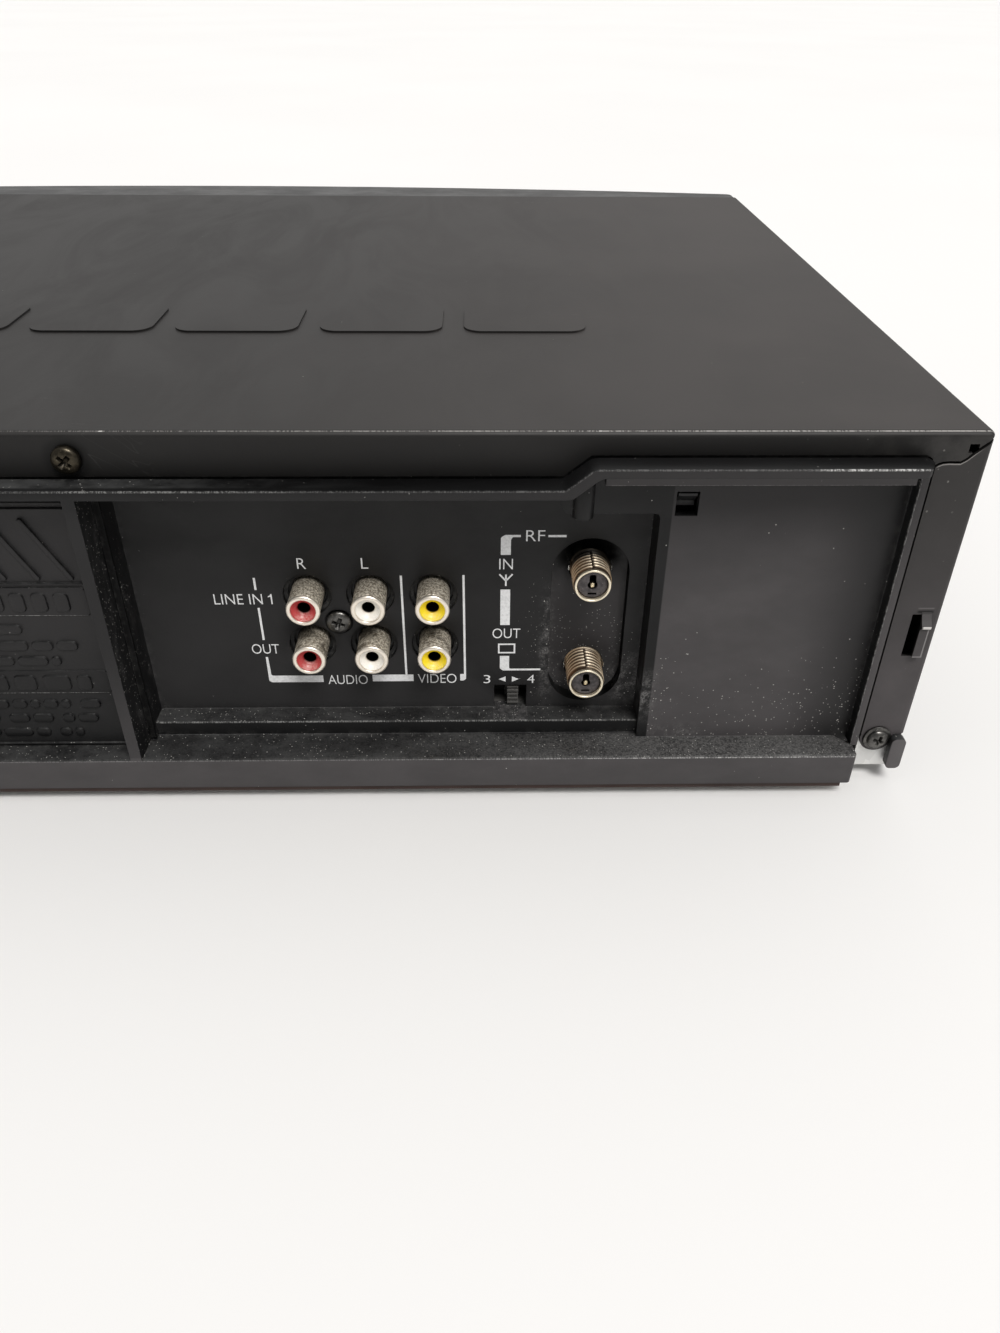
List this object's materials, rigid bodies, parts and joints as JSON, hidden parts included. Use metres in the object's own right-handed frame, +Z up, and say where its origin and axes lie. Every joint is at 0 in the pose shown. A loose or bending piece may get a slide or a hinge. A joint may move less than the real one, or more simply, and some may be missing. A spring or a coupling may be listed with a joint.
{
  "type": "video cassette recorder",
  "caption": "Full-width home video cassette recorder with bowed front, steel cover, spring flap, tape deck and a rear panel with phono and aerial jacks.",
  "frame": {"origin": "on the floor under the middle of the machine's outer box", "axes": "+X across the machine, front faces -Y, rear with the jacks faces +Y, +Z up"},
  "size_m": [0.43, 0.292, 0.0985],
  "materials": {
    "cover_paint": "satin, fine texture, worn along the edges",
    "galvanised": "spangled zinc",
    "rear_plastic": "moulded, fine grain, dusty ledges",
    "front_plastic": "satin moulded",
    "rail_plastic": "moulded",
    "foot_rubber": "matt",
    "bronze_screw": "dark bronze plated",
    "black_screw": "black oxide",
    "jack_plastic": "matt",
    "tarnished_nickel": "tarnished nickel plate, bright lip",
    "insert_red": "dusty",
    "insert_white": "dusty, yellowed",
    "insert_yellow": "dusty",
    "tinplate": "tinned",
    "brass_thread": "tarnished",
    "insulator": "matt",
    "contact_brass": "bright",
    "switch_plastic": "matt",
    "board": "phenolic",
    "green_board": "solder mask",
    "core": "wound, taped",
    "capacitor_sleeve": "sleeved",
    "aluminium": "machined",
    "black_aluminium": "extruded",
    "smoked_acrylic": "polished",
    "tube_glass": "glossy",
    "ribbon": "flat cable",
    "deck_steel": "zinc plated",
    "key_plastic": "satin",
    "flap_plastic": "satin",
    "steel": "turned",
    "roller_rubber": "ground",
    "white_acetal": "moulded",
    "grey_acetal": "moulded",
    "head_metal": "lapped"
  },
  "bodies": {
    "housing": {"top_cover": "cover_paint", "cover_screws": "bronze_screw", "chassis_base": "galvanised", "side_rails": "rail_plastic", "rubber_feet": "foot_rubber", "rear_bracket": "rail_plastic", "rear_panel": "rear_plastic", "rear_panel_screws": "black_screw", "rca_jack_block": "jack_plastic", "rca_shells": "tarnished_nickel", "rca_inserts_red": "insert_red", "rca_inserts_white": "insert_white", "rca_inserts_yellow": "insert_yellow", "rf_modulator_can": "tinplate", "f_connector_in": "brass_thread", "f_connector_out": "brass_thread", "f_connector_insulators": "insulator", "f_connector_contacts": "contact_brass", "channel_switch_body": "switch_plastic", "ac_inlet": "jack_plastic", "main_pcb": "board", "power_supply_pcb": "board", "transformer": "core", "filter_capacitors": "capacitor_sleeve", "heat_sink": "black_aluminium", "front_bezel": "front_plastic", "display_window": "smoked_acrylic", "front_jack_block": "jack_plastic", "front_jack_shells": "tarnished_nickel", "front_pcb": "green_board", "display_tube": "tube_glass", "ribbon_cable": "ribbon", "deck_chassis": "deck_steel", "lower_drum": "aluminium", "capstan_motor": "green_board", "stationary_heads": "head_metal", "loading_motor": "steel"},
    "flap": {"cassette_flap": "flap_plastic"},
    "channel_switch": {"channel_switch_slider": "switch_plastic"},
    "slider": {"carriage_slider": "deck_steel"},
    "cradle": {"cassette_cradle": "deck_steel"},
    "drum": {"head_drum": "aluminium"},
    "capstan": {"capstan_flywheel": "steel"},
    "supply_reel": {"supply_reel_table": "grey_acetal"},
    "takeup_reel": {"takeup_reel_table": "grey_acetal"},
    "pinch_arm": {"pinch_roller_arm": "deck_steel"},
    "pinch_wheel": {"pinch_roller": "roller_rubber"},
    "supply_guide": {"tape_guide_supply": "steel"},
    "takeup_guide": {"tape_guide_takeup": "steel"},
    "cam_gear": {"loading_cam_gear": "white_acetal"},
    "pinion": {"loading_pinion": "white_acetal"},
    "power_key": {"power_button": "key_plastic"},
    "eject_key": {"eject_button": "key_plastic"},
    "channel_up_key": {"channel_up_button": "key_plastic"},
    "channel_down_key": {"channel_down_button": "key_plastic"},
    "rewind_key": {"rewind_button": "key_plastic"},
    "play_key": {"play_button": "key_plastic"},
    "stop_key": {"stop_button": "key_plastic"},
    "fast_forward_key": {"fast_forward_button": "key_plastic"},
    "record_key": {"record_button": "key_plastic"}
  },
  "joints": [
    {"name": "flap_swing", "type": "hinge", "parent": "housing", "child": "flap", "pos_m": [0, -0.1402, 0.088], "axis": [1, 0, 0], "range_deg": [0, 80], "stiffness_Nm_per_rad": 0.012, "springref_deg": -20.05},
    {"name": "power_key_press", "type": "slide", "parent": "housing", "child": "power_key", "axis": [0, 1, 0], "range_m": [0, 0.001], "stiffness_N_per_m": 400, "springref_m": -0.001},
    {"name": "eject_key_press", "type": "slide", "parent": "housing", "child": "eject_key", "axis": [0, 1, 0], "range_m": [0, 0.001], "stiffness_N_per_m": 400, "springref_m": -0.001},
    {"name": "channel_up_key_press", "type": "slide", "parent": "housing", "child": "channel_up_key", "axis": [0, 1, 0], "range_m": [0, 0.001], "stiffness_N_per_m": 400, "springref_m": -0.001},
    {"name": "channel_down_key_press", "type": "slide", "parent": "housing", "child": "channel_down_key", "axis": [0, 1, 0], "range_m": [0, 0.001], "stiffness_N_per_m": 400, "springref_m": -0.001},
    {"name": "rewind_key_press", "type": "slide", "parent": "housing", "child": "rewind_key", "axis": [0, 1, 0], "range_m": [0, 0.001], "stiffness_N_per_m": 400, "springref_m": -0.001},
    {"name": "play_key_press", "type": "slide", "parent": "housing", "child": "play_key", "axis": [0, 1, 0], "range_m": [0, 0.001], "stiffness_N_per_m": 400, "springref_m": -0.001},
    {"name": "stop_key_press", "type": "slide", "parent": "housing", "child": "stop_key", "axis": [0, 1, 0], "range_m": [0, 0.001], "stiffness_N_per_m": 400, "springref_m": -0.001},
    {"name": "fast_forward_key_press", "type": "slide", "parent": "housing", "child": "fast_forward_key", "axis": [0, 1, 0], "range_m": [0, 0.001], "stiffness_N_per_m": 400, "springref_m": -0.001},
    {"name": "record_key_press", "type": "slide", "parent": "housing", "child": "record_key", "axis": [0, 1, 0], "range_m": [0, 0.001], "stiffness_N_per_m": 400, "springref_m": -0.001},
    {"name": "channel_switch_slide", "type": "slide", "parent": "housing", "child": "channel_switch", "axis": [1, 0, 0], "range_m": [-0.0018, 0.003]},
    {"name": "slider_in", "type": "slide", "parent": "housing", "child": "slider", "axis": [0, 1, 0], "range_m": [0, 0.056]},
    {"name": "cradle_drop", "type": "slide", "parent": "slider", "child": "cradle", "axis": [0, 0, -1], "range_m": [0, 0.027]},
    {"name": "drum_spin", "type": "hinge", "parent": "housing", "child": "drum", "pos_m": [0, 0.05, 0.0405], "axis": [0.0597, -0.0845, 0.9946], "continuous": true},
    {"name": "capstan_spin", "type": "hinge", "parent": "housing", "child": "capstan", "pos_m": [0.056, 0.012, 0.03], "axis": [0, 0, 1], "continuous": true},
    {"name": "supply_reel_spin", "type": "hinge", "parent": "housing", "child": "supply_reel", "pos_m": [-0.04625, -0.048, 0.026], "axis": [0, 0, 1], "continuous": true},
    {"name": "takeup_reel_spin", "type": "hinge", "parent": "housing", "child": "takeup_reel", "pos_m": [0.04625, -0.048, 0.026], "axis": [0, 0, 1], "continuous": true},
    {"name": "cam_turn", "type": "hinge", "parent": "housing", "child": "cam_gear", "pos_m": [-0.084, 0.04, 0.028], "axis": [0, 0, 1], "range_deg": [0, 150]},
    {"name": "pinion_spin", "type": "hinge", "parent": "housing", "child": "pinion", "pos_m": [-0.084, 0.06275, 0.028], "axis": [0, 0, 1], "range_deg": [-600, 0]},
    {"name": "pinch_arm_swing", "type": "hinge", "parent": "housing", "child": "pinch_arm", "pos_m": [0.084, 0.01, 0.038], "axis": [0, 0, 1], "range_deg": [-28, 0]},
    {"name": "pinch_roller_spin", "type": "hinge", "parent": "pinch_arm", "child": "pinch_wheel", "pos_m": [0.06248, -0.00914, 0.038], "axis": [0, 0, 1], "continuous": true},
    {"name": "supply_guide_slide", "type": "slide", "parent": "housing", "child": "supply_guide", "axis": [-0.1521, 0.9884, 0], "range_m": [0, 0.05261]},
    {"name": "takeup_guide_slide", "type": "slide", "parent": "housing", "child": "takeup_guide", "axis": [0.1521, 0.9884, 0], "range_m": [0, 0.05261]}
  ],
  "couplings": [
    {"joint": "pinion_spin", "follows": "cam_turn", "ratio": -4},
    {"joint": "pinch_arm_swing", "follows": "cam_turn", "ratio": -0.18667},
    {"joint": "supply_guide_slide", "follows": "cam_turn", "m_per_rad": 0.020096},
    {"joint": "takeup_guide_slide", "follows": "cam_turn", "m_per_rad": 0.020096}
  ]
}
